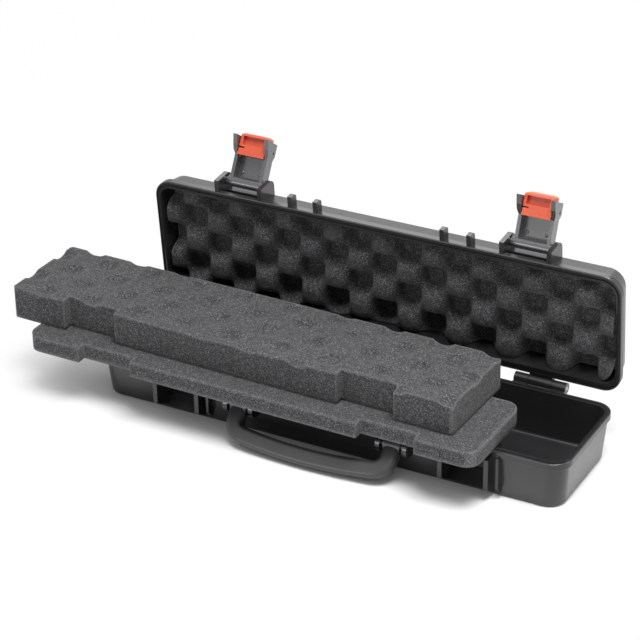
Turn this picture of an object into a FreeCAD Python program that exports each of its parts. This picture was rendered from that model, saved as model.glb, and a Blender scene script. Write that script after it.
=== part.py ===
import FreeCAD, Part
import os
from math import cos, radians, sin

# Driving sizes in millimetres and degrees. X runs along the case, -Y to its front and Z up, with the origin
# in the middle of the base's underside. The pieces are drawn on the closed case and then opened.
SIZES = (
    # Base and lid shells
    ("case_length", 420),
    ("case_width", 106),
    ("base_height", 42),
    ("lid_height", 24),
    ("wall", 2.8),
    ("side_wall", 5.2),
    ("flange_height", 6),
    ("flange_corner", 16),
    ("flange_edge", 0.8),
    ("end_inset", 1.6),
    ("side_inset", 1.2),
    ("draft_inset", 3.4),
    ("foot_edge", 3),
    ("lid_edge", 5),
    # Rim tongue, groove and seal
    ("tongue_width", 1.4),
    ("tongue_height", 0.8),
    ("groove_depth", 3),
    ("groove_gap", 0.3),
    ("seal_thickness", 2),
    # Lid hinges
    ("hinge_inset", 68),
    ("hinge_back", 6.6),
    ("hinge_rise", 0.6),
    ("knuckle_radius", 4.6),
    ("base_knuckle", 12),
    ("lid_knuckle", 20),
    ("knuckle_gap", 0.4),
    ("pivot_pin_radius", 2),
    ("pin_fit", 0.01),
    ("pin_running_gap", 0.06),
    ("pin_chamfer", 0.3),
    ("pin_cover", 1.2),
    ("lid_opening", 85),
    # Latches
    ("latch_inset", 81),
    ("latch_reach", 3.9),
    ("latch_rise", 16.1),
    ("latch_opening_left", 124),
    ("latch_opening_right", 116),
    ("ear_thickness", 4),
    ("ear_radius", 6.6),
    ("barrel_radius", 4.6),
    ("boss_width", 35.6),
    ("boss_radius", 4.2),
    ("boss_gap", 0.4),
    ("lever_width", 30.4),
    ("lever_length", 38.6),
    ("lever_end_slope", 2.1),
    ("lever_flare", 1.3),
    ("web_offset", 6.9),
    ("web_thickness", 2.5),
    ("web_root", 4),
    ("web_bump_radius", 1.3),
    ("web_bump_offset", 8),
    ("web_bump_drop", 9),
    ("cheek_thickness", 3),
    ("cheek_reach", 3.4),
    ("cheek_straight", 22.6),
    ("cheek_bend", 30.7),
    ("cheek_bend_reach", 8.1),
    ("cheek_end_reach", 11.4),
    ("slot_depth", 5.2),
    ("slot_lip", 4),
    # Release buttons
    ("button_pivot", 28.8),
    ("button_pivot_inset", 2.8),
    ("button_pin_radius", 1.2),
    ("button_pin_sink", 0.8),
    ("button_gap", 0.5),
    ("button_end", 41),
    ("button_reach", 4.5),
    ("button_corner", 2.5),
    ("button_bevel", 1.2),
    ("button_back_radius", 6),
    ("hook_rise", 6.2),
    ("hook_reach", 5.6),
    ("hook_height", 1.8),
    ("scoop_drop", 2.7),
    ("scoop_depth", 4),
    ("scoop_border", 2.4),
    ("slit_drop", 0.9),
    ("slit_length", 5),
    ("slit_width", 1.4),
    ("spring_wire", 0.5),
    ("spring_gap", 0.3),
    ("spring_pitch", 0.75),
    ("spring_turns", 6),
    # Latch pockets in the base's front wall, and the guard ribs beside them
    ("recess_width", 35.4),
    ("recess_depth", 15.5),
    ("recess_lip", 3.5),
    ("recess_slope", 14),
    ("rib_thickness", 3.8),
    ("rib_spacing", 7.8),
    ("rib_reach", 8),
    ("rib_foot", 10),
    ("side_rib_thickness", 2.2),
    ("side_rib_reach", 2.5),
    # Handle
    ("handle_to_latch", 60.3),
    ("handle_reach", 4.5),
    ("handle_height", 27),
    ("handle_drop", 42),
    ("arm_width", 14.4),
    ("arm_length", 11.5),
    ("grip_thickness", 11),
    ("grip_rounding", 4),
    ("handle_corner", 12.5),
    ("grip_bow", 8),
    ("eye_radius", 6.4),
    ("tab_gap", 19.6),
    ("tab_thickness", 3.8),
    ("tab_radius", 7.2),
    # Gussets on the lid, above the handle's tabs
    ("gusset_reach", 10),
    ("gusset_height", 8.5),
    ("gusset_radius", 4),
    # Foam in the lid
    ("foam_gap", 0.3),
    ("lid_foam_base", 4),
    ("bump_height", 15),
    ("bump_radius", 11.5),
    ("bump_pitch", 44.4),
    ("bump_row", 22),
    ("bump_first_row", 19),
    ("bump_turn", 2.1),
    # Loose foam inserts
    ("insert_gap", 0.5),
    ("notch_gap", 4.6),
    ("sheet_thickness", 13.7),
    ("sheet_corner", 12),
    ("pad_thickness", 27.9),
    ("pad_corner", 3),
    ("dimple_radius", 16),
    ("dimple_depth", 4.2),
    ("dimple_row", 20.6),
    ("dimple_first_row", 24),
    ("sheet_shift_x", -53.7),
    ("sheet_shift_y", -41),
    ("sheet_turn", -1.1),
    ("pad_shift_x", -79.3),
    ("pad_shift_y", -21.8),
    ("pad_turn", -1.7),
)

doc = FreeCAD.newDocument("hard_case")
sheet = doc.addObject("Spreadsheet::Sheet", "sizes")
for row, (alias, value) in enumerate(SIZES, start=1):
    sheet.set(f"A{row}", alias)
    sheet.set(f"B{row}", str(value))
    sheet.setAlias(f"B{row}", alias)
doc.recompute()


class Size:
    """A size on the sheet, or a sum or product of such sizes, kept as an expression to bind."""

    def __init__(self, text):
        self.text = str(text)

    def __str__(self):
        return self.text

    def __float__(self):
        return float(sheet.evalExpression(self.text))

    def __neg__(self):
        return Size(f"(0 - {self.text})")

    def __add__(self, other):
        return Size(f"({self.text} + {other})")

    def __sub__(self, other):
        return Size(f"({self.text} - {other})")

    def __mul__(self, other):
        return Size(f"({self.text} * {other})")

    def __truediv__(self, other):
        return Size(f"({self.text} / {other})")


class Sheet:
    """Gives each alias of the sheet as a Size."""

    def __getattr__(self, alias):
        return Size(f"sizes.{alias}")


mm = Sheet()
X_AXIS = FreeCAD.Vector(1, 0, 0)
Y_AXIS = FreeCAD.Vector(0, 1, 0)
Z_AXIS = FreeCAD.Vector(0, 0, 1)
SIDES = (("left", -1), ("right", 1))
FLAT = 1e-4
NOTHING = Size(0)


def at(x, y, z):
    return FreeCAD.Vector(float(x), float(y), float(z))


def turned(angle, point):
    """A turn about the X line through a point."""
    return FreeCAD.Placement(FreeCAD.Vector(), FreeCAD.Rotation(X_AXIS, float(angle)), point)


def block(name, x, y, z):
    """A box between two places on each axis."""
    part = doc.addObject("Part::Box", name)
    for axis, side, (low, high) in zip("xyz", ("Length", "Width", "Height"), (x, y, z)):
        part.setExpression(side, str(high - low))
        part.setExpression(f"Placement.Base.{axis}", str(low))
    return part


def rod(name, x, y, z, radius):
    """A cylinder along X between two places."""
    part = doc.addObject("Part::Cylinder", name)
    part.Placement.Rotation = FreeCAD.Rotation(Y_AXIS, 90)
    part.setExpression("Radius", str(radius))
    part.setExpression("Height", str(x[1] - x[0]))
    for axis, place in zip("xyz", (x[0], y, z)):
        part.setExpression(f"Placement.Base.{axis}", str(place))
    return part


def pin(name, x, y, z, radius):
    """A rod whose two ends are chamfered."""
    bar = rod(f"{name}_bar", x, y, z, radius)
    doc.recompute()
    bevel = float(mm.pin_chamfer)
    part = doc.addObject("Part::Chamfer", name)
    part.Base = bar
    part.Edges = [(index, bevel, bevel) for index, edge in enumerate(bar.Shape.Edges, start=1)
                  if len(edge.Vertexes) == 1]
    return part


def drafted(name, half_x, half_y, z, foot_inset, top_inset):
    """A block about the Z axis whose foot or top is drawn in on all four sides."""
    part = doc.addObject("Part::Wedge", name)
    part.Placement.Rotation = FreeCAD.Rotation(X_AXIS, 90)
    bounds = {
        "Ymin": z[0], "Ymax": z[1],
        "Xmin": foot_inset - half_x, "Xmax": half_x - foot_inset,
        "Zmin": foot_inset - half_y, "Zmax": half_y - foot_inset,
        "X2min": top_inset - half_x, "X2max": half_x - top_inset,
        "Z2min": top_inset - half_y, "Z2max": half_y - top_inset,
    }
    for side, place in bounds.items():
        part.setExpression(side, str(place))
    return part


def rounded(name, base, radii):
    """Rounds a shape's upright edges, and the level edges at its low or high end."""
    doc.recompute()
    ends = base.Shape.BoundBox
    edges = []
    for index, edge in enumerate(base.Shape.Edges, start=1):
        heights = [vertex.Z for vertex in edge.Vertexes]
        if max(heights) - min(heights) > FLAT:
            place = "upright"
        elif heights[0] < ends.Center.z:
            place = "low"
        else:
            place = "high"
        if place in radii:
            edges.append((index, float(radii[place]), float(radii[place])))
    part = doc.addObject("Part::Fillet", name)
    part.Base = base
    part.Edges = edges
    return part


def fuse(name, parts):
    part = doc.addObject("Part::MultiFuse", name)
    part.Shapes = parts
    return part


def cut(name, base, tool):
    part = doc.addObject("Part::Cut", name)
    part.Base = base
    part.Tool = tool
    return part


def solid(name, shape):
    part = doc.addObject("Part::Feature", name)
    part.Shape = shape
    return part


def drawn_out(points, along):
    """A flat polygon drawn out along a vector."""
    return Part.Face(Part.makePolygon(points + points[:1])).extrude(along)


def ring(name, half_x, half_y, corner, width, z):
    """A band of the given width whose middle line is a rounded rectangle."""
    edge = width / 2
    outside = block(f"{name}_outside", (-half_x - edge, half_x + edge), (-half_y - edge, half_y + edge), z)
    inside = block(f"{name}_inside", (edge - half_x, half_x - edge), (edge - half_y, half_y - edge), z)
    return cut(name, rounded(f"{name}_outer", outside, {"upright": corner + edge}),
               rounded(f"{name}_inner", inside, {"upright": corner - edge}))


nodes = []


def node(part, label, placement=None):
    """Names a finished sub-part and takes it from the closed case to its place."""
    doc.recompute()
    part.Label = label
    if placement:
        part.Placement = placement.multiply(part.Placement)
    nodes.append(part)


# Places that several pieces share
half_length = mm.case_length / 2
half_width = mm.case_width / 2
front = -half_width
rim = mm.base_height
top = rim + mm.lid_height
body_x = half_length - mm.end_inset
body_y = half_width - mm.side_inset
body_corner = mm.flange_corner - mm.end_inset
inner_x = body_x - mm.wall
inner_y = body_y - mm.side_wall
inner_corner = body_corner - mm.wall
hollow_edge = mm.lid_edge - mm.wall / 2
wall_foot = front + mm.side_inset + mm.draft_inset
wall_root = wall_foot + mm.wall / 2
seal_x = half_length - (mm.end_inset + mm.wall) / 2
seal_y = half_width - (mm.side_inset + mm.side_wall) / 2
seal_corner = mm.flange_corner - (mm.end_inset + mm.wall) / 2
groove_width = mm.tongue_width + mm.groove_gap * 2
hinge_place = half_length - mm.hinge_inset
hinge_y = half_width + mm.hinge_back
hinge_z = rim + mm.hinge_rise
hinge_half = mm.lid_knuckle / 2 + mm.knuckle_gap + mm.base_knuckle
latch_place = half_length - mm.latch_inset
handle_place = latch_place - mm.handle_to_latch
latch_y = front - mm.latch_reach
latch_z = rim + mm.latch_rise
latch_outside = latch_y - mm.web_offset
ear_gap = mm.boss_width + mm.boss_gap * 2
button_y = latch_y - mm.button_pivot_inset
button_z = latch_z - mm.button_pivot
handle_y = front - mm.handle_reach
tab_middle = (mm.tab_gap + mm.tab_thickness) / 2
latch_pin_half = ear_gap / 2 + mm.ear_thickness - mm.pin_cover
handle_pin_half = mm.tab_gap / 2 + mm.tab_thickness - mm.pin_cover
recess_half = mm.recess_width / 2
recess_floor = front + mm.recess_depth
insert_x = inner_x - mm.insert_gap
insert_y = inner_y - mm.draft_inset - mm.insert_gap

lid_open = turned(-float(mm.lid_opening), at(0, hinge_y, hinge_z))
bored_fit = mm.pivot_pin_radius + mm.pin_fit
bored_loose = mm.pivot_pin_radius + mm.pin_running_gap


# Shells: a drafted tray with a flange round its rim
def flange_plate(name, z):
    plate = block(f"{name}_plate", (-half_length, half_length), (-half_width, half_width), z)
    corners = rounded(f"{name}_corners", plate, {"upright": mm.flange_corner})
    return rounded(name, corners, {"low": mm.flange_edge, "high": mm.flange_edge})


def tray(name, outside, flange, hollow):
    return cut(f"{name}_tray", fuse(f"{name}_outside", [outside, flange]), hollow)


base_wedge = drafted("base_wedge", body_x, body_y, (NOTHING, rim - mm.flange_edge), mm.draft_inset, NOTHING)
base_outside = rounded("base_body", base_wedge, {"upright": body_corner, "low": mm.foot_edge})
base_room = drafted("base_room", inner_x, inner_y, (mm.wall, rim), mm.draft_inset, NOTHING)
base_hollow = rounded("base_hollow", base_room, {"upright": inner_corner, "low": mm.foot_edge})
base_flange = flange_plate("base_flange", (rim - mm.flange_height, rim))
base_tray = tray("base", base_outside, base_flange, base_hollow)

lid_wedge = drafted("lid_wedge", body_x, body_y, (rim + mm.flange_edge, top), NOTHING, mm.draft_inset)
lid_outside = rounded("lid_body", lid_wedge, {"upright": body_corner, "high": mm.lid_edge})
lid_room = drafted("lid_room", inner_x, inner_y, (rim, top - mm.wall), NOTHING, mm.draft_inset)
lid_hollow = rounded("lid_hollow", lid_room, {"upright": inner_corner, "high": hollow_edge})
lid_flange = flange_plate("lid_flange", (rim, rim + mm.flange_height))
lid_tray = tray("lid", lid_outside, lid_flange, lid_hollow)


# Latch pockets of the base: a housing that stands into the hollow, with guard ribs beside the lever's place
def recess_housing(side, middle):
    return block(f"recess_housing_{side}", (middle - recess_half - mm.wall, middle + recess_half + mm.wall),
                 (wall_root, recess_floor + mm.wall), (mm.wall / 2, rim - mm.wall))


def pocket(name, x):
    """A hollow in the front wall, open to the front, whose floor slopes out to a lip at its foot."""
    high = float(rim - mm.flange_height)
    lip = float(mm.recess_lip)
    outside = float(front - mm.recess_depth)
    side_view = ((outside, high), (float(recess_floor), high), (float(recess_floor), float(mm.recess_slope)),
                 (float(wall_foot), lip), (outside, lip))
    return solid(name, drawn_out([at(x[0], y, z) for y, z in side_view], at(x[1] - x[0], 0, 0)))


def guard_rib(name, low, thickness, reach):
    """A rib that stands out of the front wall, with its foot drawn back to the wall."""
    high = float(rim - mm.flange_height + mm.flange_edge)
    lip = float(mm.recess_lip)
    root = float(wall_root)
    outside = float(front - reach)
    side_view = ((root, high), (outside, high), (outside, float(mm.rib_foot)), (float(wall_foot), lip),
                 (root, lip))
    return solid(name, drawn_out([at(low, y, z) for y, z in side_view], at(thickness, 0, 0)))


def guard_ribs(side, middle):
    """A rib on each side of a lever's place, and a low one beyond the right rib."""
    left = middle - recess_half - mm.rib_thickness
    right = middle + recess_half
    return [guard_rib(f"rib_{side}_1", left, mm.rib_thickness, mm.rib_reach),
            guard_rib(f"rib_{side}_2", right, mm.rib_thickness, mm.rib_reach),
            guard_rib(f"rib_{side}_3", right + mm.rib_spacing, mm.side_rib_thickness, mm.side_rib_reach)]


# Plates with a round nose: the tabs that hold the handle's pins, and the lid's ears and gussets
def nosed_plate(name, middle, thickness, nose, root_y, root_top):
    """A plate round a pin's place (y, z, radius), joined to the wall behind it."""
    y, z, radius = nose
    span = (middle - thickness / 2, middle + thickness / 2)
    return [rod(f"{name}_nose", span, y, z, radius),
            block(f"{name}_root", span, (y, root_y), (z - radius, root_top))]


def footed_plate(name, middle, thickness, nose, root_y):
    """A plate from the lid's flange to a round nose (y, z, radius), joined to the wall behind it."""
    y, z, radius = nose
    span = (middle - thickness / 2, middle + thickness / 2)
    return [rod(f"{name}_nose", span, y, z, radius),
            block(f"{name}_foot", span, (y - radius, wall_root), (rim + mm.flange_edge, z)),
            block(f"{name}_root", span, (y, root_y), (z, z + radius))]


def knuckles(name, spans, arm_y, arm_z):
    """Hinge knuckles on the given X spans, each with an arm to its shell."""
    parts = []
    for number, span in enumerate(spans, start=1):
        parts.append(rod(f"{name}_{number}", span, hinge_y, hinge_z, mm.knuckle_radius))
        parts.append(block(f"{name}_arm_{number}", span, arm_y, arm_z))
    return parts


base_added = [base_tray]
base_hollows = []
for side, sign in SIDES:
    latch_x = latch_place * sign
    hinge_x = hinge_place * sign
    handle_x = handle_place * sign
    base_added.append(recess_housing(side, latch_x))
    base_added += guard_ribs(side, latch_x)
    for number, shift in enumerate((-tab_middle, tab_middle), start=1):
        base_added += nosed_plate(f"tab_{side}_{number}", handle_x + shift, mm.tab_thickness,
                                  (handle_y, mm.handle_height, mm.tab_radius), wall_root,
                                  rim - mm.flange_height + mm.flange_edge)
    base_added += knuckles(f"base_knuckle_{side}",
                           ((hinge_x - hinge_half, hinge_x - hinge_half + mm.base_knuckle),
                            (hinge_x + hinge_half - mm.base_knuckle, hinge_x + hinge_half)),
                           (half_width - mm.side_inset / 2, hinge_y),
                           (hinge_z - mm.knuckle_radius, rim - mm.knuckle_gap / 2))
    base_hollows.append(pocket(f"recess_{side}", (latch_x - recess_half, latch_x + recess_half)))
    base_hollows.append(rod(f"hinge_bore_{side}", (hinge_x - hinge_half, hinge_x + hinge_half),
                            hinge_y, hinge_z, bored_fit))
    base_hollows.append(rod(f"handle_bore_{side}", (handle_x - handle_pin_half, handle_x + handle_pin_half),
                            handle_y, mm.handle_height, bored_fit))
tongue = ring("tongue", seal_x, seal_y, seal_corner, mm.tongue_width, (rim, rim + mm.tongue_height))
base_cut = cut("base_cut", fuse("base_filled", base_added), fuse("base_hollows", base_hollows))
node(fuse("base_shell", [base_cut, tongue]), "base_shell")

# Lid shell
lid_added = [lid_tray]
lid_hollows = [ring("groove", seal_x, seal_y, seal_corner, groove_width, (rim, rim + mm.groove_depth))]
for side, sign in SIDES:
    latch_x = latch_place * sign
    hinge_x = hinge_place * sign
    handle_x = handle_place * sign
    ear_middle = (ear_gap + mm.ear_thickness) / 2
    for number, shift in enumerate((-ear_middle, ear_middle), start=1):
        lid_added += footed_plate(f"ear_{side}_{number}", latch_x + shift, mm.ear_thickness,
                                  (latch_y, latch_z, mm.ear_radius), wall_foot + mm.wall)
    for number, shift in enumerate((-tab_middle, tab_middle), start=1):
        lid_added += footed_plate(f"gusset_{side}_{number}", handle_x + shift, mm.tab_thickness,
                                  (front - mm.gusset_reach + mm.gusset_radius,
                                   rim + mm.flange_edge + mm.gusset_height - mm.gusset_radius,
                                   mm.gusset_radius), wall_root)
    knuckle_x = (hinge_x - mm.lid_knuckle / 2, hinge_x + mm.lid_knuckle / 2)
    lid_added += knuckles(f"lid_knuckle_{side}", (knuckle_x,), (half_width - mm.side_inset / 2, hinge_y),
                          (rim + mm.knuckle_gap / 2, hinge_z + mm.knuckle_radius))
    lid_hollows.append(rod(f"lid_hinge_bore_{side}", (hinge_x - mm.lid_knuckle, hinge_x + mm.lid_knuckle),
                           hinge_y, hinge_z, bored_loose))
    lid_hollows.append(rod(f"ear_bore_{side}", (latch_x - latch_pin_half, latch_x + latch_pin_half),
                           latch_y, latch_z, bored_fit))
    lid_hollows.append(block(f"latch_slot_{side}", (latch_x - ear_gap / 2, latch_x + ear_gap / 2),
                             (front - mm.slot_depth, front + mm.slot_depth),
                             (rim + mm.slot_lip, rim + mm.flange_height * 2)))
node(cut("lid_shell", fuse("lid_filled", lid_added), fuse("lid_hollows", lid_hollows)), "lid_shell", lid_open)

# Rubber seal at the bottom of the lid's groove
seal_top = rim + mm.groove_depth
node(ring("lid_seal", seal_x, seal_y, seal_corner, groove_width - mm.pin_running_gap * 2,
          (seal_top - mm.seal_thickness, seal_top)), "lid_seal", lid_open)

# Hinge pins and handle pins
for side, sign in SIDES:
    hinge_x = hinge_place * sign
    handle_x = handle_place * sign
    node(pin(f"hinge_pin_{side}", (hinge_x - hinge_half, hinge_x + hinge_half), hinge_y, hinge_z,
             mm.pivot_pin_radius), f"hinge_pin_{side}")
    node(pin(f"handle_pin_{side}", (handle_x - handle_pin_half, handle_x + handle_pin_half), handle_y,
             mm.handle_height, mm.pivot_pin_radius), f"handle_pin_{side}")


# Latch levers: a channel with flared cheeks that hangs from a barrel
def lever_cheek(middle, sign):
    """One cheek, cut from a flared front view and a side view that widens towards the button."""
    outer = float(mm.lever_width / 2)
    inner = outer - float(mm.cheek_thickness)
    flare = float(mm.lever_flare)
    high = float(latch_z)
    low = float(latch_z - mm.lever_length)
    step = float(latch_z - mm.cheek_straight)
    relief = float(button_z + mm.hook_rise + mm.button_gap)
    front_view = ((inner, high), (outer, high), (outer, step), (outer + flare, step - flare * 3),
                  (outer + flare, low), (inner + flare / 2, low), (inner + flare / 2, relief),
                  (inner, relief + flare))
    y_low = float(latch_outside)
    y_high = float(latch_y + mm.cheek_end_reach)
    straight_y = float(latch_y + mm.cheek_reach)
    side_view = ((y_low, high), (y_low, low + float(mm.lever_end_slope)), (y_high, low),
                 (float(latch_y + mm.cheek_bend_reach), float(latch_z - mm.cheek_bend)),
                 (straight_y, step), (straight_y, high))
    centre = float(middle)
    plate = drawn_out([at(centre + sign * x, y_low, z) for x, z in front_view], at(0, y_high - y_low, 0))
    room = drawn_out([at(centre - outer * 2, y, z) for y, z in side_view], at(outer * 4, 0, 0))
    return plate.common(room)


def lever_web(middle):
    """The web between the cheeks, with a thick root that joins it to the barrel."""
    outside = float(latch_outside)
    inside = float(latch_outside + mm.web_thickness)
    axis = float(latch_y)
    high = float(latch_z)
    root = high - float(mm.web_root)
    clear = float(mm.button_back_radius + mm.button_gap)
    pin = at(middle, button_y, button_z)
    ends = [pin.z + (clear ** 2 - (y - pin.y) ** 2) ** 0.5 for y in (outside, inside)]
    side_view = ((outside, high), (outside, ends[0]), (inside, ends[1]), (inside, root), (axis, root),
                 (axis, high))
    width = mm.lever_width - mm.cheek_thickness
    return drawn_out([at(middle - width / 2, y, z) for y, z in side_view], at(width, 0, 0))


def latch_lever(side, middle):
    half = mm.lever_width / 2
    boss_half = mm.boss_width / 2
    boss_root = half - mm.cheek_thickness / 2
    web_inside = latch_outside + mm.web_thickness
    barrels = [rod(f"barrel_{side}", (middle - half, middle + half), latch_y, latch_z, mm.barrel_radius)]
    for end, x in (("left", (middle - boss_half, middle - boss_root)),
                   ("right", (middle + boss_root, middle + boss_half))):
        barrels.append(rod(f"boss_{side}_{end}", x, latch_y, latch_z, mm.boss_radius))
    web = solid(f"web_{side}", lever_web(middle))
    cheeks = []
    bumps = []
    for end, sign in SIDES:
        cheeks.append(solid(f"cheek_{side}_{end}", lever_cheek(middle, sign)))
        bump = doc.addObject("Part::Sphere", f"web_bump_{side}_{end}")
        bump.setExpression("Radius", str(mm.web_bump_radius))
        bump_place = (middle + mm.web_bump_offset * sign, web_inside, latch_z - mm.web_bump_drop)
        for axis, place in zip("xyz", bump_place):
            bump.setExpression(f"Placement.Base.{axis}", str(place))
        bumps.append(bump)
    bores = [rod(f"barrel_bore_{side}", (middle - ear_gap, middle + ear_gap), latch_y, latch_z, bored_loose),
             rod(f"cheek_bore_{side}", (middle - ear_gap, middle + ear_gap), button_y, button_z,
                 mm.button_pin_radius + mm.pin_fit)]
    return cut(f"latch_lever_{side}", fuse(f"lever_filled_{side}", barrels + [web] + cheeks + bumps),
               fuse(f"lever_bores_{side}", bores))


# Release buttons: a hook above the pin, a hollowed finger rest below it
def button_profile(x):
    """The button's side view: a round back about its pin, the hook and the sides of the finger rest."""
    pin = at(x, button_y, button_z)
    radius = float(mm.button_back_radius)
    outside = float(latch_outside)
    inside = float(latch_y + mm.button_reach)
    end_z = float(latch_z - mm.button_end)
    bevel = float(mm.button_bevel)
    back = outside - pin.y
    arc = [pin + FreeCAD.Vector(0, y, (radius ** 2 - y ** 2) ** 0.5) for y in (back, back / 2, 0)]
    hook = at(x, latch_y + mm.hook_reach, button_z + mm.hook_rise)
    lip = hook - at(0, 0, mm.hook_height)
    corners = [arc[2], hook, lip, at(x, inside, lip.z - (hook.y - inside) / 2),
               at(x, inside, end_z + bevel * 2), at(x, inside - bevel, end_z + bevel / 2),
               at(x, inside - bevel * 2, end_z), at(x, outside + bevel, end_z), at(x, outside, end_z + bevel),
               arc[0]]
    edges = [Part.Arc(*arc).toShape()]
    edges += [Part.makeLine(a, b) for a, b in zip(corners, corners[1:])]
    return Part.Face(Part.Wire(edges))


def button_body(middle, half):
    """The drawn-out side view, with the two corners of its end taken off."""
    low = float(latch_z - mm.button_end)
    high = float(latch_z)
    corner = float(mm.button_corner)
    outline = ((-half, high), (-half, low + corner / 2), (corner - half, low), (half - corner, low),
               (half, low + corner / 2), (half, high))
    depth = float(mm.web_offset + mm.hook_reach)
    room = drawn_out([at(middle + x, latch_outside, z) for x, z in outline], at(0, depth, 0))
    return button_profile(middle - half).extrude(at(half * 2, 0, 0)).common(room)


def release_button(side, middle):
    half = mm.lever_width / 2 - mm.cheek_thickness + mm.lever_flare / 2 - mm.button_gap
    body = solid(f"button_body_{side}", button_body(float(middle), float(half)))
    inside = latch_y + mm.button_reach
    coil = mm.button_pin_radius + mm.spring_gap + mm.spring_wire + mm.spring_gap
    coil_half = mm.spring_pitch * mm.spring_turns / 2 + mm.spring_wire + mm.spring_gap
    scoop = block(f"scoop_{side}", (middle - half + mm.scoop_border, middle + half - mm.scoop_border),
                  (inside - mm.scoop_depth, inside + mm.scoop_depth),
                  (latch_z - mm.button_end + mm.scoop_border, button_z - mm.scoop_drop))
    slit_z = button_z - mm.slit_drop
    slit = block(f"slit_{side}", (middle - half - mm.slit_width, middle - half + mm.slit_length),
                 (inside - mm.slit_length / 2, inside + mm.slit_length), (slit_z, slit_z + mm.slit_width))
    bore = rod(f"button_bore_{side}", (middle - ear_gap, middle + ear_gap), button_y, button_z,
               mm.button_pin_radius + mm.pin_running_gap)
    coil_room = rod(f"coil_room_{side}", (middle - coil_half, middle + coil_half), button_y, button_z, coil)
    return cut(f"release_button_{side}", body, fuse(f"button_hollows_{side}", [scoop, slit, bore, coil_room]))


def button_spring(middle):
    """A close coil round the button's pin, drawn along X."""
    wire = float(mm.spring_wire)
    pitch = float(mm.spring_pitch)
    length = pitch * float(mm.spring_turns)
    radius = float(mm.button_pin_radius + mm.spring_gap) + wire / 2
    path = Part.Wire(Part.makeHelix(pitch, length, radius).Edges)
    start = FreeCAD.Vector(radius, 0, 0)
    section = Part.Wire(Part.makeCircle(wire / 2, start, Y_AXIS))
    coil = path.makePipeShell([section], True, True)
    coil.translate(FreeCAD.Vector(0, 0, -length / 2))
    coil.rotate(FreeCAD.Vector(), Y_AXIS, 90)
    coil.translate(at(middle, button_y, button_z))
    return coil


for side, sign in SIDES:
    latch_x = latch_place * sign
    opening = mm.latch_opening_left if side == "left" else mm.latch_opening_right
    latch_open = lid_open.multiply(turned(-float(opening), at(0, latch_y, latch_z)))
    button_pin_half = mm.lever_width / 2 + mm.lever_flare - mm.button_pin_sink
    node(latch_lever(side, latch_x), f"latch_lever_{side}", latch_open)
    node(pin(f"latch_pin_{side}", (latch_x - latch_pin_half, latch_x + latch_pin_half), latch_y, latch_z,
             mm.pivot_pin_radius), f"latch_pin_{side}", lid_open)
    node(release_button(side, latch_x), f"release_button_{side}", latch_open)
    node(pin(f"button_pin_{side}", (latch_x - button_pin_half, latch_x + button_pin_half), button_y, button_z,
             mm.button_pin_radius), f"button_pin_{side}", latch_open)
    node(solid(f"button_spring_{side}", button_spring(latch_x)), f"button_spring_{side}", latch_open)


# Handle: one bar that runs down an arm, round a corner, along a bowed grip and back
def handle_path():
    """The bar's middle line from arm to arm, drawn level with the pins on the X axis."""
    arm_x = float(handle_place)
    arm_y = -float(mm.arm_length)
    corner = float(mm.handle_corner)
    bow = radians(float(mm.grip_bow))
    grip_x = arm_x - corner * (1 - sin(bow))
    grip_y = arm_y - corner * cos(bow)
    grip_radius = grip_x / sin(bow)
    middle_y = grip_y - grip_radius * (1 - cos(bow))
    turn = (radians(90) - bow) / 2
    bend = FreeCAD.Vector(arm_x - corner * (1 - cos(turn)), arm_y - corner * sin(turn), 0)
    points = [at(-arm_x, 0, 0), at(-arm_x, arm_y, 0), at(-bend.x, bend.y, 0), at(-grip_x, grip_y, 0),
              at(0, middle_y, 0), at(grip_x, grip_y, 0), bend, at(arm_x, arm_y, 0), at(arm_x, 0, 0)]
    return Part.Wire([Part.makeLine(points[0], points[1]),
                      Part.Arc(points[1], points[2], points[3]).toShape(),
                      Part.Arc(points[3], points[4], points[5]).toShape(),
                      Part.Arc(points[5], points[6], points[7]).toShape(),
                      Part.makeLine(points[7], points[8])])


def handle_section():
    """A rectangle with round corners, square to the start of the left arm."""
    half_x = float(mm.arm_width) / 2
    half_z = float(mm.grip_thickness) / 2
    centre = -float(handle_place)
    plate = Part.makeBox(half_x * 2, 1, half_z * 2, at(centre - half_x, 0, -half_z))
    edges = [edge for edge in plate.Edges if edge.Vertexes[0].Y != edge.Vertexes[1].Y]
    smooth = plate.makeFillet(float(mm.grip_rounding), edges)
    face = min(smooth.Faces, key=lambda face: face.CenterOfMass.y)
    return face.OuterWire


handle_bar = solid("handle_bar", handle_path().makePipeShell([handle_section()], True, False))
handle_eyes = []
handle_bores = []
for side, sign in SIDES:
    arm_x = handle_place * sign
    half = mm.arm_width / 2
    eye_x = (arm_x - half, arm_x + half)
    bore_x = (arm_x - half * 2, arm_x + half * 2)
    handle_eyes.append(rod(f"eye_{side}", eye_x, NOTHING, NOTHING, mm.eye_radius))
    handle_bores.append(rod(f"eye_bore_{side}", bore_x, NOTHING, NOTHING, bored_loose))
handle = cut("handle", fuse("handle_filled", [handle_bar] + handle_eyes), fuse("handle_bores", handle_bores))
node(handle, "handle", FreeCAD.Placement(at(0, handle_y, mm.handle_height),
                                         FreeCAD.Rotation(X_AXIS, float(mm.handle_drop))))


# Foam: staggered rows of round bumps, or of shallow dimples
def staggered(half_x, half_y, first_row, row_step):
    """Middles of the round forms, in rows that shift by half a pitch and run a little askew."""
    turned = FreeCAD.Rotation(Z_AXIS, float(mm.bump_turn))
    pitch = float(mm.bump_pitch)
    y = first_row - row_step
    shifted = True
    while y < half_y + row_step / 2:
        x = pitch / 2 if shifted else 0
        while x < half_x + pitch / 4:
            for place in {x, -x}:
                yield turned.multVec(at(place, y, 0))
            x += pitch
        y += row_step
        shifted = not shifted


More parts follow.
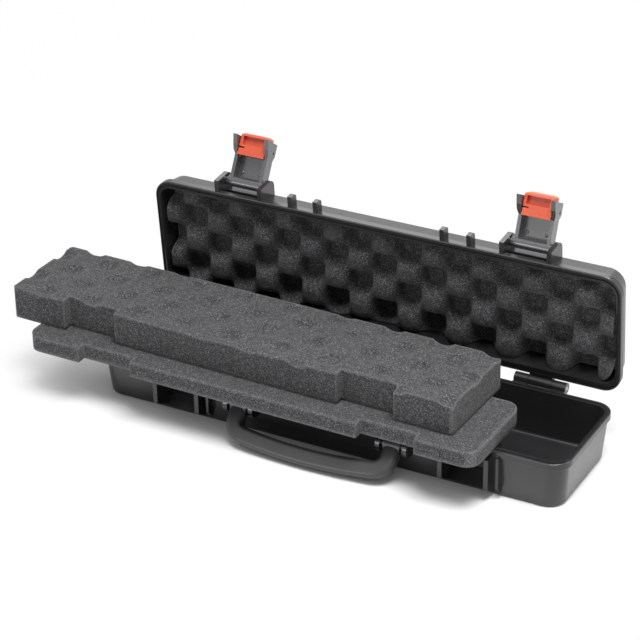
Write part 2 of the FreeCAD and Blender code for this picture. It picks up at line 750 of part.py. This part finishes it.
def lid_foam():
    """A slab glued under the lid's top, with egg-crate bumps that hang from it and fill the lid to its walls."""
    half_x = inner_x - mm.foam_gap
    half_y = inner_y - mm.foam_gap
    high = top - mm.wall - mm.foam_gap
    room = rounded("foam_room", drafted("foam_wedge", half_x, half_y, (rim, high), NOTHING, mm.draft_inset),
                   {"upright": inner_corner, "high": hollow_edge})
    doc.recompute()
    thickness = float(mm.lid_foam_base)
    low = float(high) - thickness
    radius = float(mm.bump_radius)
    bump_z = low - float(mm.bump_height) + radius
    slab = Part.makeBox(float(half_x) * 2, float(half_y) * 2, thickness, at(-float(half_x), -float(half_y), low))
    first_row = float(mm.bump_first_row - half_width)
    bumps = []
    for middle in staggered(float(half_x), float(half_y), first_row, float(mm.bump_row)):
        if abs(middle.x) < float(half_x) and abs(middle.y) < float(half_y):
            bumps.append(Part.makeSphere(radius, at(middle.x, middle.y, bump_z)))
    return slab.multiFuse(bumps).common(room.Shape).removeSplitter()


def insert_blank(name, thickness, corner):
    """A loose insert before its top is shaped: it fits the base's hollow round the latch recesses."""
    plate = block(f"{name}_plate", (-insert_x, insert_x), (-insert_y, insert_y), (NOTHING, thickness))
    notches = []
    notch_half = recess_half + mm.wall + mm.notch_gap
    notch_y = (-insert_y * 2, recess_floor + mm.wall + mm.insert_gap)
    for side, sign in SIDES:
        middle = latch_place * sign
        notches.append(block(f"{name}_notch_{side}", (middle - notch_half, middle + notch_half), notch_y,
                             (-thickness, thickness * 2)))
    return rounded(f"{name}_blank", plate, {"upright": corner}), notches


def dimples():
    """Shallow round hollows in the thick insert's top."""
    radius = float(mm.dimple_radius)
    height = float(mm.pad_thickness - mm.dimple_depth) + radius
    first_row = float(mm.dimple_first_row - half_width)
    middles = staggered(float(insert_x), float(insert_y), first_row, float(mm.dimple_row))
    return Part.makeCompound([Part.makeSphere(radius, at(middle.x, middle.y, height)) for middle in middles])


def lying(shift_x, shift_y, height, turn):
    return FreeCAD.Placement(at(shift_x, shift_y, height), FreeCAD.Rotation(Z_AXIS, float(turn)))


node(solid("lid_foam", lid_foam()), "lid_foam", lid_open)

sheet_low = rim + mm.tongue_height + mm.foam_gap
sheet_blank, sheet_notches = insert_blank("sheet", mm.sheet_thickness, mm.sheet_corner)
node(cut("foam_sheet", sheet_blank, fuse("sheet_notches", sheet_notches)), "foam_sheet",
     lying(mm.sheet_shift_x, mm.sheet_shift_y, sheet_low, mm.sheet_turn))

pad_low = sheet_low + mm.sheet_thickness + mm.foam_gap
pad_blank, pad_notches = insert_blank("pad", mm.pad_thickness, mm.pad_corner)
pad_plain = cut("pad_plain", pad_blank, fuse("pad_notches", pad_notches))
node(cut("foam_pad", pad_plain, solid("pad_dimples", dimples())), "foam_pad",
     lying(mm.pad_shift_x, mm.pad_shift_y, pad_low, mm.pad_turn))

# Every piece is sound before any is written
doc.recompute()
failed = [part.Name for part in doc.Objects if "Invalid" in part.State or "Error" in part.State]
failed += [part.Label for part in nodes if part.Shape.isNull() or not part.Shape.isValid()]
if failed:
    raise RuntimeError("Unsound pieces: " + ", ".join(failed))
os.makedirs("parts", exist_ok=True)
for part in nodes:
    part.Shape.exportStep(f"parts/{part.Label}.step")
    print(f"{part.Label}: {len(part.Shape.Solids)} solid, {part.Shape.Volume / 1000:.2f} cm3")
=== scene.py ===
from math import cos, pi, radians, sin, sqrt

import bmesh
import bpy
from mathutils import Matrix, Vector


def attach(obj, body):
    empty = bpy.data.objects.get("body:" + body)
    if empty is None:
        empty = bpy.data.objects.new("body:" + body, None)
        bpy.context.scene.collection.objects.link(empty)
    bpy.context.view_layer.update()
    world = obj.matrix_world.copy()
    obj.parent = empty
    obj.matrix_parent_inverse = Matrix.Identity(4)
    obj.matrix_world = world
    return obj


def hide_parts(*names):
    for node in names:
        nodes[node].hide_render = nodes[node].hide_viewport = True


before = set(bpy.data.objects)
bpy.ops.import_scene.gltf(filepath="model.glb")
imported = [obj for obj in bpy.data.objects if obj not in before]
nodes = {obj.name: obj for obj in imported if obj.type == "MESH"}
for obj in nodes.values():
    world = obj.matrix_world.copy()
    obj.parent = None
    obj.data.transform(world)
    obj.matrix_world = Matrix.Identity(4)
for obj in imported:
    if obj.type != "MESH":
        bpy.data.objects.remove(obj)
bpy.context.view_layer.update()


# Base and lid: the two halves of the case, each moulded in one piece of black plastic with its flange,
# hinge knuckles, tabs and ears. The mould leaves a fine grain, and handling polishes it in patches.
class Wire:
    """One socket of a node tree. Sums and products of wires and numbers add Math nodes to the tree."""

    def __init__(self, tree, socket=None):
        self.tree = tree
        self.socket = socket

    def node(self, kind, settings, inputs, output=0):
        """Adds a node: its settings first, then the values or wires of its sockets."""
        added = self.tree.nodes.new(kind)
        for name, value in settings.items():
            setattr(added, name, value)
        for key, value in inputs.items():
            if isinstance(value, Wire):
                self.tree.links.new(value.socket, added.inputs[key])
            else:
                added.inputs[key].default_value = value
        return Wire(self.tree, added.outputs[output])

    def maths(self, operation, first, second=0.0):
        return self.node("ShaderNodeMath", {"operation": operation}, {0: first, 1: second})

    def __add__(self, other):
        return self.maths("ADD", self, other)

    def __sub__(self, other):
        return self.maths("SUBTRACT", self, other)

    def __rsub__(self, other):
        return self.maths("SUBTRACT", other, self)

    def __mul__(self, other):
        return self.maths("MULTIPLY", self, other)

    def __truediv__(self, other):
        return self.maths("DIVIDE", self, other)

    __radd__ = __add__
    __rmul__ = __mul__


def finish(name, constants):
    """A material with one shader, the values that are the same all over it, and its place on the piece."""
    made = bpy.data.materials.new(name)
    made.use_nodes = True
    shader = made.node_tree.nodes["Principled BSDF"]
    for socket, value in constants.items():
        shader.inputs[socket].default_value = value
    place = Wire(made.node_tree).node("ShaderNodeTexCoord", {}, {}, "Object")
    return made, shader, place


def noise(place, scale, detail, roughness=0.5):
    return place.node("ShaderNodeTexNoise", {}, {"Vector": place, "Scale": scale, "Detail": detail,
                                                 "Roughness": roughness}, "Fac")


def blended(factor, first, second):
    return factor.node("ShaderNodeMix", {"data_type": "RGBA"}, {0: factor, 6: first, 7: second}, 2)


def bumped(height, strength, distance):
    return height.node("ShaderNodeBump", {}, {"Height": height, "Strength": strength, "Distance": distance},
                       "Normal")


def feed(shader, sockets):
    for name, wire in sockets.items():
        wire.tree.links.new(wire.socket, shader.inputs[name])


def moulded_plastic(name, dark, light, gloss, grain_size, grain_depth, constants):
    """Plastic from a mould: a fine grain, soft patches of wear in its gloss and a little in its colour."""
    made, shader, place = finish(name, constants)
    grain = noise(place, 1 / grain_size, 3, 0.6)
    patches = noise(place, 28, 4, 0.6)
    rub = noise(place, 160, 2)
    feed(shader, {
        "Base Color": blended(patches * 0.6 + grain * 0.4, dark, light),
        "Roughness": gloss + (patches - 0.5) * 0.22 + (rub - 0.5) * 0.1,
        "Normal": bumped(grain, 0.35, grain_depth),
    })
    return made


def coat(material, *names):
    for name in names:
        for slot in nodes[name].material_slots:
            slot.material = material


case_plastic = moulded_plastic("case_plastic", (0.011, 0.011, 0.012, 1), (0.026, 0.026, 0.027, 1), 0.22,
                               0.0006, 0.00006, {"Specular IOR Level": 0.7})
coat(case_plastic, "base_shell", "lid_shell")

# Seal: a square rubber ring pressed into the groove of the lid's flange. The base's tongue closes on it,
# which leaves it dull and a little dusty.
seal_rubber, seal_shader, seal_place = finish("seal_rubber", {"Specular IOR Level": 0.35})
seal_dust = noise(seal_place, 240, 4, 0.7)
feed(seal_shader, {
    "Base Color": blended(seal_dust, (0.008, 0.008, 0.008, 1), (0.030, 0.029, 0.028, 1)),
    "Roughness": 0.62 + seal_dust * 0.3,
    "Normal": bumped(seal_dust, 0.3, 0.0001),
})
coat(seal_rubber, "lid_seal")

# Pins and button springs: drawn steel wire, cut to length and pressed into the plastic, or wound into
# springs. The drawing leaves fine scratches along the wire.
drawn_steel, steel_shader, steel_place = finish("drawn_steel", {"Metallic": 1.0})
along_wire = steel_place.node("ShaderNodeMapping", {}, {"Vector": steel_place, "Scale": (60, 2600, 2600)})
scratches = noise(along_wire, 1, 3, 0.7)
tarnish = noise(steel_place, 300, 2)
feed(steel_shader, {
    "Base Color": blended(tarnish, (0.42, 0.42, 0.43, 1), (0.66, 0.66, 0.67, 1)),
    "Roughness": 0.2 + scratches * 0.25,
    "Normal": bumped(scratches, 0.25, 0.00003),
})
for side in ("left", "right"):
    coat(drawn_steel, *[f"{kind}_{side}" for kind in ("hinge_pin", "handle_pin", "latch_pin", "button_pin",
                                                      "button_spring")])

# Handle: one bent bar moulded in black plastic, on pins between the base's tabs. Hands have rubbed it, so it
# is paler and less glossy than the case.
handle_plastic = moulded_plastic("handle_plastic", (0.026, 0.026, 0.027, 1), (0.050, 0.050, 0.051, 1), 0.34,
                                 0.0007, 0.00005, {"Specular IOR Level": 0.5})
coat(handle_plastic, "handle")

# Latch levers: channel-shaped levers on pins between the lid's ears, moulded in a harder grey-black plastic.
# A polished mould leaves a clear gloss on them.
lever_plastic = moulded_plastic("lever_plastic", (0.026, 0.026, 0.029, 1), (0.052, 0.053, 0.057, 1), 0.26,
                                0.0012, 0.00004, {"Specular IOR Level": 1.0, "Coat Weight": 0.6,
                                                  "Coat Roughness": 0.2})
coat(lever_plastic, "latch_lever_left", "latch_lever_right")

# Release buttons: hooks moulded in red-orange plastic, on thin pins in the ends of the levers. Each has a
# hollow for the fingertip and a slit beside it.
button_plastic = moulded_plastic("button_plastic", (0.47, 0.060, 0.026, 1), (0.60, 0.108, 0.052, 1), 0.32,
                                 0.0010, 0.00004, {"Specular IOR Level": 0.5})
coat(button_plastic, "release_button_left", "release_button_right")


# Lid foam: open-cell foam cut on rollers into an egg crate, glued under the lid's top. Its bumps stand in
# rows that shift by half a pitch and run a little askew. Pale specks are painted into the foam's colour as
# glints of light on its cut cells.
MM = 0.001
PITCH = 44.4 * MM
TURN = radians(2.1)
BUMP_ROW = 22 * MM
FIRST_BUMP_ROW = 34 * MM
BUMP_HEIGHT = 15 * MM
BUMP_SPREAD = 2.9 * MM
LID_FOAM_HALF_X = 201.9 * MM
LID_FOAM_HALF_Y = 42.9 * MM
LID_FOAM_BASE = 4 * MM
LID_FOAM_CORNER = 11.6 * MM
LID_FOAM_TOP = 62.9 * MM
HINGE = Vector((0, 59.6 * MM, 42.6 * MM))
LID_ANGLE = radians(-85)


def grid_lines(low, high, step, through):
    """Places from low to high about a step apart, with a line through each given place."""
    stops = sorted({low, high, *through})
    places = []
    for start, end in zip(stops, stops[1:]):
        count = max(1, round((end - start) / step))
        places += [start + (end - start) * index / count for index in range(count)]
    return places + [high]


def rounded_corner(x, y, half_x, half_y, corner):
    """Moves a grid point in one of the corner squares so that the corner comes out round."""
    u = (abs(x) - half_x) / corner + 1
    v = (abs(y) - half_y) / corner + 1
    if u <= 0 or v <= 0:
        return x, y
    across = half_x - corner + corner * u * sqrt(1 - v * v / 2)
    along = half_y - corner + corner * v * sqrt(1 - u * u / 2)
    return (across if x > 0 else -across), (along if y > 0 else -along)


def foam_block(name, half_x, half_y, thickness, corner, notches=(), step=2.2 * MM, soft=1.1 * MM):
    """A closed block of foam on a fine grid, with notches (x from, x to, y to) cut in from its front edge."""
    notch_sides = [x for cut in notches for x in cut[:2]]
    notch_ends = [cut[2] for cut in notches]
    xs = grid_lines(-half_x, half_x, step, [half_x - corner, corner - half_x] + notch_sides)
    ys = grid_lines(-half_y, half_y, step, [half_y - corner, corner - half_y] + notch_ends)
    heights = grid_lines(0, thickness, step * 1.6, ())
    shape = bmesh.new()
    points = {}

    def point(column, row, level):
        key = (column, row, level)
        if key not in points:
            x, y = rounded_corner(xs[column], ys[row], half_x, half_y, corner)
            points[key] = shape.verts.new((x, y, heights[level]))
        return points[key]

    def kept(column, row):
        if not (0 <= column < len(xs) - 1 and 0 <= row < len(ys) - 1):
            return False
        x = (xs[column] + xs[column + 1]) / 2
        y = (ys[row] + ys[row + 1]) / 2
        return not any(start < x < end and y < depth for start, end, depth in notches)

    top = len(heights) - 1
    for column in range(len(xs) - 1):
        for row in range(len(ys) - 1):
            if not kept(column, row):
                continue
            ring = ((column, row), (column + 1, row), (column + 1, row + 1), (column, row + 1))
            shape.faces.new([point(*place, top) for place in ring])
            shape.faces.new([point(*place, 0) for place in reversed(ring)])
            beyond = ((column, row - 1), (column + 1, row), (column, row + 1), (column - 1, row))
            for start, end, neighbour in zip(ring, ring[1:] + ring[:1], beyond):
                if not kept(*neighbour):
                    for level in range(top):
                        shape.faces.new((point(*start, level), point(*end, level), point(*end, level + 1),
                                         point(*start, level + 1)))
    sharp = [edge for edge in shape.edges if edge.calc_face_angle(0) > radians(50)]
    bmesh.ops.bevel(shape, geom=sharp, offset=soft, segments=2, profile=0.5, affect="EDGES")
    shape.normal_update()
    mesh = bpy.data.meshes.new(name)
    shape.to_mesh(mesh)
    shape.free()
    mesh.shade_smooth()
    # painted highlight: points on the bevelled edges and round corners are marked, and the foam's colour is
    # made paler there
    edge_highlight_mask = mesh.attributes.new("edge_highlight_mask", "FLOAT", "POINT")
    for vertex, value in zip(mesh.vertices, edge_highlight_mask.data):
        value.value = 1.0 if max(abs(part) for part in vertex.normal) < 0.94 else 0.0
    piece = bpy.data.objects.new(name, mesh)
    bpy.context.scene.collection.objects.link(piece)
    return piece


def egg_crate_tree(name):
    """Moves a foam block's face along Z where rows of round forms stand on it, in or out."""
    tree = bpy.data.node_groups.new(name, "GeometryNodeTree")
    tree.interface.new_socket("Geometry", in_out="INPUT", socket_type="NodeSocketGeometry")
    for size in ("Pitch", "Row", "First Row", "Turn", "Face", "Height", "Start", "Power", "Variation",
                 "Half Width", "Spread"):
        tree.interface.new_socket(size, in_out="INPUT", socket_type="NodeSocketFloat")
    tree.interface.new_socket("Material", in_out="INPUT", socket_type="NodeSocketMaterial")
    tree.interface.new_socket("Geometry", in_out="OUTPUT", socket_type="NodeSocketGeometry")
    entry = tree.nodes.new("NodeGroupInput")
    given = {socket.name: Wire(tree, socket) for socket in entry.outputs if socket.name}
    place = Wire(tree).node("GeometryNodeInputPosition", {}, {})
    x, y, z = (place.node("ShaderNodeSeparateXYZ", {}, {0: place}, axis) for axis in range(3))
    askew = place.node("ShaderNodeVectorRotate", {"rotation_type": "Z_AXIS"},
                       {0: place, "Angle": 0 - given["Turn"]})
    row_x, row_y = (place.node("ShaderNodeSeparateXYZ", {}, {0: askew}, axis) for axis in range(2))
    along = x.maths("COSINE", row_x * (2 * pi) / given["Pitch"])
    across = y.maths("COSINE", (row_y - given["First Row"]) * pi / given["Row"])
    rise = (along * across - given["Start"]) / (1 - given["Start"])
    rise = rise.node("ShaderNodeClamp", {}, {0: rise})
    rise = 1 - rise.maths("POWER", 1 - rise, given["Power"])
    on_face = z.node("ShaderNodeClamp", {}, {0: z / given["Face"]})
    uneven = 1 - given["Variation"] * noise(place, 34, 1)
    edge = y / given["Half Width"]
    spread = given["Spread"] * rise * on_face * edge * edge * edge * edge * edge
    move = place.node("ShaderNodeCombineXYZ", {}, {1: spread, 2: given["Height"] * rise * on_face * uneven})
    moved = place.node("GeometryNodeSetPosition", {}, {"Geometry": given["Geometry"], "Offset": move})
    whole = moved.node("GeometryNodeRealizeInstances", {}, {0: moved})
    dressed = whole.node("GeometryNodeSetMaterial", {}, {"Geometry": whole, "Material": given["Material"]})
    leave = tree.nodes.new("NodeGroupOutput")
    tree.links.new(dressed.socket, leave.inputs[0])
    return tree


def shaped(piece, tree, sizes):
    """Runs a tree on a piece and keeps the outcome as its plain mesh."""
    modifier = piece.modifiers.new(tree.name, "NODES")
    modifier.node_group = tree
    for socket in tree.interface.items_tree:
        if socket.in_out == "INPUT" and socket.name in sizes:
            modifier[socket.identifier] = sizes[socket.name]
    outcome = bpy.data.meshes.new_from_object(piece.evaluated_get(bpy.context.evaluated_depsgraph_get()))
    piece.modifiers.clear()
    piece.data = outcome


foam_cells, foam_shader, foam_place = finish("foam_cells", {"Specular IOR Level": 0.2, "Roughness": 0.95,
                                                            "Sheen Weight": 0.12, "Sheen Roughness": 0.6})
cells = foam_place.node("ShaderNodeTexVoronoi", {"feature": "F1"},
                        {"Vector": foam_place, "Scale": 1500}, "Color")
cell_walls = cells.node("ShaderNodeSeparateColor", {}, {0: cells}, 0)
tufts = noise(foam_place, 420, 4, 0.7)
clouds = noise(foam_place, 35, 3)
# painted highlight: pale specks in the foam's colour stand in for glints of light on its cut cells
painted_glints = cell_walls.maths("POWER", cell_walls, 5)
painted_edge_highlight = foam_place.node("ShaderNodeAttribute", {"attribute_name": "edge_highlight_mask"}, {}, "Fac")
foam_tone = blended(tufts * 0.5 + cell_walls * 0.4 + (clouds - 0.5) * 0.2, (0.010, 0.010, 0.011, 1),
                    (0.070, 0.070, 0.072, 1))
# painted highlights: the pale specks and the marked edges are mixed towards a light grey
foam_with_painted_highlights = blended(painted_glints * 0.4 + painted_edge_highlight * 0.15, foam_tone, (0.36, 0.36, 0.37, 1))
feed(foam_shader, {
    "Base Color": foam_with_painted_highlights,
    "Normal": bumped(tufts + cell_walls * 0.6, 0.6, 0.0006),
})
egg_crate = egg_crate_tree("egg_crate")


def lay(piece, place, body, node):
    """Puts a foam piece in its place on its body and hides the part that it stands in for."""
    piece.data.transform(place)
    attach(piece, body)
    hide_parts(node)


lid_foam = foam_block("lid_foam_egg_crate", LID_FOAM_HALF_X, LID_FOAM_HALF_Y, LID_FOAM_BASE, LID_FOAM_CORNER,
                      step=1.5 * MM)
shaped(lid_foam, egg_crate, {"Pitch": PITCH, "Row": BUMP_ROW, "First Row": FIRST_BUMP_ROW, "Turn": -TURN,
                             "Face": LID_FOAM_BASE, "Height": BUMP_HEIGHT, "Start": -0.35, "Power": 2.3,
                             "Variation": 0.06, "Half Width": LID_FOAM_HALF_Y, "Spread": BUMP_SPREAD,
                             "Material": foam_cells})
lid_opened = Matrix.Translation(HINGE) @ Matrix.Rotation(LID_ANGLE, 4, "X") @ Matrix.Translation(-HINGE)
under_lid = Matrix.Translation((0, 0, LID_FOAM_TOP)) @ Matrix.Rotation(pi, 4, "X")
lay(lid_foam, lid_opened @ under_lid, "lid", "lid_foam")

# Foam sheet: the thin loose insert of the same foam, knife-cut with notches that clear the latch pockets.
# It lies pulled half out over the base's front rim.
INSERT_HALF_X = 205.1 * MM
INSERT_HALF_Y = 42.7 * MM
NOTCH_MIDDLE = 129 * MM
NOTCH_HALF = 25.1 * MM
NOTCH_END = -34.2 * MM
NOTCHES = [(middle - NOTCH_HALF, middle + NOTCH_HALF, NOTCH_END) for middle in (-NOTCH_MIDDLE, NOTCH_MIDDLE)]
SHEET_THICKNESS = 13.7 * MM
SHEET_CORNER = 12 * MM
SHEET_PLACE = (-53.7 * MM, -41 * MM, 43.1 * MM)
SHEET_TURN = radians(-1.1)
foam_sheet = foam_block("foam_sheet_cut", INSERT_HALF_X, INSERT_HALF_Y, SHEET_THICKNESS, SHEET_CORNER,
                        NOTCHES)
foam_sheet.data.materials.append(foam_cells)
lay(foam_sheet, Matrix.Translation(SHEET_PLACE) @ Matrix.Rotation(SHEET_TURN, 4, "Z"), "sheet", "foam_sheet")

# Foam pad: the thick loose insert, cut to the same outline, which lies on the sheet. Rollers left rows of
# shallow dimples in its top, some of them hardly there.
PAD_THICKNESS = 27.9 * MM
PAD_CORNER = 3 * MM
PAD_PLACE = (-79.3 * MM, -21.8 * MM, 57.1 * MM)
PAD_TURN = radians(-1.7)
DIMPLE_ROW = 20.6 * MM
FIRST_DIMPLE_ROW = -29 * MM
DIMPLE_DEPTH = 4.8 * MM
foam_pad = foam_block("foam_pad_dimpled", INSERT_HALF_X, INSERT_HALF_Y, PAD_THICKNESS, PAD_CORNER, NOTCHES,
                      step=1.6 * MM)
shaped(foam_pad, egg_crate, {"Pitch": PITCH, "Row": DIMPLE_ROW, "First Row": FIRST_DIMPLE_ROW, "Turn": TURN,
                             "Face": PAD_THICKNESS, "Height": -DIMPLE_DEPTH, "Start": 0.2, "Power": 1.7,
                             "Variation": 0.6, "Half Width": INSERT_HALF_Y, "Spread": 0.0,
                             "Material": foam_cells})
lay(foam_pad, Matrix.Translation(PAD_PLACE) @ Matrix.Rotation(PAD_TURN, 4, "Z"), "pad", "foam_pad")

# Studio: a white paper floor in a white room, with soft lamps overhead, beyond the right end, behind and low
# in front. The paper darkens close to the case, where little light reaches it.
FLOOR_HALF = 8
floor_corners = [(-FLOOR_HALF, -FLOOR_HALF, 0), (FLOOR_HALF, -FLOOR_HALF, 0), (FLOOR_HALF, FLOOR_HALF, 0),
                 (-FLOOR_HALF, FLOOR_HALF, 0)]
floor_mesh = bpy.data.meshes.new("floor")
floor_mesh.from_pydata(floor_corners, [], [(0, 1, 2, 3)])
floor = bpy.data.objects.new("floor", floor_mesh)
bpy.context.scene.collection.objects.link(floor)


def seen_directly(wire):
    """1 for rays from the camera or from a gloss, and 0 for light that falls on the object."""
    rays = [wire.node("ShaderNodeLightPath", {}, {}, name)
            for name in ("Is Camera Ray", "Is Glossy Ray", "Is Transmission Ray")]
    return wire.maths("MAXIMUM", rays[0], wire.maths("MAXIMUM", rays[1], rays[2]))


floor_paper = bpy.data.materials.new("floor_paper")
floor_paper.use_nodes = True
paper = Wire(floor_paper.node_tree)
paper_grain = noise(paper.node("ShaderNodeTexCoord", {}, {}, "Object"), 400, 2)
matt = paper.node("ShaderNodeBsdfDiffuse", {}, {"Color": blended(paper_grain, (0.90, 0.90, 0.90, 1),
                                                                (0.92, 0.92, 0.92, 1))})
WHITE = (1, 1, 1, 1)
WHITENESS = 0.97
SHADE_REACH = 0.07
glow = paper.node("ShaderNodeEmission", {}, {"Color": WHITE, "Strength": 1.0})
open_air = paper.node("ShaderNodeAmbientOcclusion", {"samples": 8}, {"Distance": SHADE_REACH}, "AO")
lit_paper = paper.node("ShaderNodeMixShader", {}, {0: seen_directly(paper) * open_air * open_air * WHITENESS,
                                                   1: matt, 2: glow})
paper.tree.links.new(lit_paper.socket, paper.tree.nodes["Material Output"].inputs["Surface"])
floor_mesh.materials.append(floor_paper)

room = bpy.data.worlds.new("room")
room.use_nodes = True
bpy.context.scene.world = room
air = Wire(room.node_tree)
ROOM_LIGHT = 0.12
walls = air.node("ShaderNodeBackground", {}, {"Color": WHITE, "Strength": ROOM_LIGHT})
backdrop = air.node("ShaderNodeBackground", {}, {"Color": WHITE, "Strength": 1.0})
around = air.node("ShaderNodeMixShader", {}, {0: seen_directly(air), 1: walls, 2: backdrop})
air.tree.links.new(around.socket, air.tree.nodes["World Output"].inputs["Surface"])


def soft_lamp(name, place, aim, width, height, watts):
    """A rectangular lamp that points from its place at what it lights."""
    lamp = bpy.data.lights.new(name, "AREA")
    lamp.shape = "RECTANGLE"
    lamp.size = width
    lamp.size_y = height
    lamp.energy = watts
    stand = bpy.data.objects.new(name, lamp)
    stand.location = place
    stand.rotation_euler = (Vector(aim) - Vector(place)).to_track_quat("-Z", "Y").to_euler()
    bpy.context.scene.collection.objects.link(stand)


CASE_MIDDLE = (0, 0, 0.05)
PAD_TOP = (-0.05, -0.05, 0.08)
BASE_END = (0.1, 0, 0.05)
soft_lamp("lamp_overhead", (0.35, -0.25, 1.5), CASE_MIDDLE, 0.9, 0.6, 33)
soft_lamp("lamp_right", (1.5, 0.5, 0.7), BASE_END, 0.5, 1.2, 8)
soft_lamp("lamp_back", (-0.3, 1.1, 1.1), PAD_TOP, 1.2, 0.8, 6)
soft_lamp("lamp_front", (-0.6, -1.7, 0.22), CASE_MIDDLE, 0.9, 0.3, 6)

# Camera: a long lens from the front right and above, as the photograph was taken. It looks at a point in the
# middle of the open case and leans by a degree.
AZIMUTH = radians(28.60)
ELEVATION = radians(28.12)
ROLL = radians(-0.96)
DISTANCE = 1.9275
LOOKED_AT = Vector((-0.0268, 0, 0.0875))
FOCAL_LENGTH = 134.79
SENSOR_WIDTH = 36
back = Vector((sin(AZIMUTH) * cos(ELEVATION), -cos(AZIMUTH) * cos(ELEVATION), sin(ELEVATION)))
level_right = Vector((cos(AZIMUTH), sin(AZIMUTH), 0))
level_up = back.cross(level_right)
right = level_right * cos(ROLL) + level_up * sin(ROLL)
up = level_up * cos(ROLL) - level_right * sin(ROLL)
lens = bpy.data.cameras.new("camera")
lens.lens = FOCAL_LENGTH
lens.sensor_width = SENSOR_WIDTH
camera = bpy.data.objects.new("camera", lens)
axes = Matrix((right, up, back)).transposed().to_4x4()
camera.matrix_world = Matrix.Translation(LOOKED_AT + back * DISTANCE) @ axes
bpy.context.scene.collection.objects.link(camera)
bpy.context.scene.camera = camera
bpy.context.scene.view_settings.view_transform = "Standard"
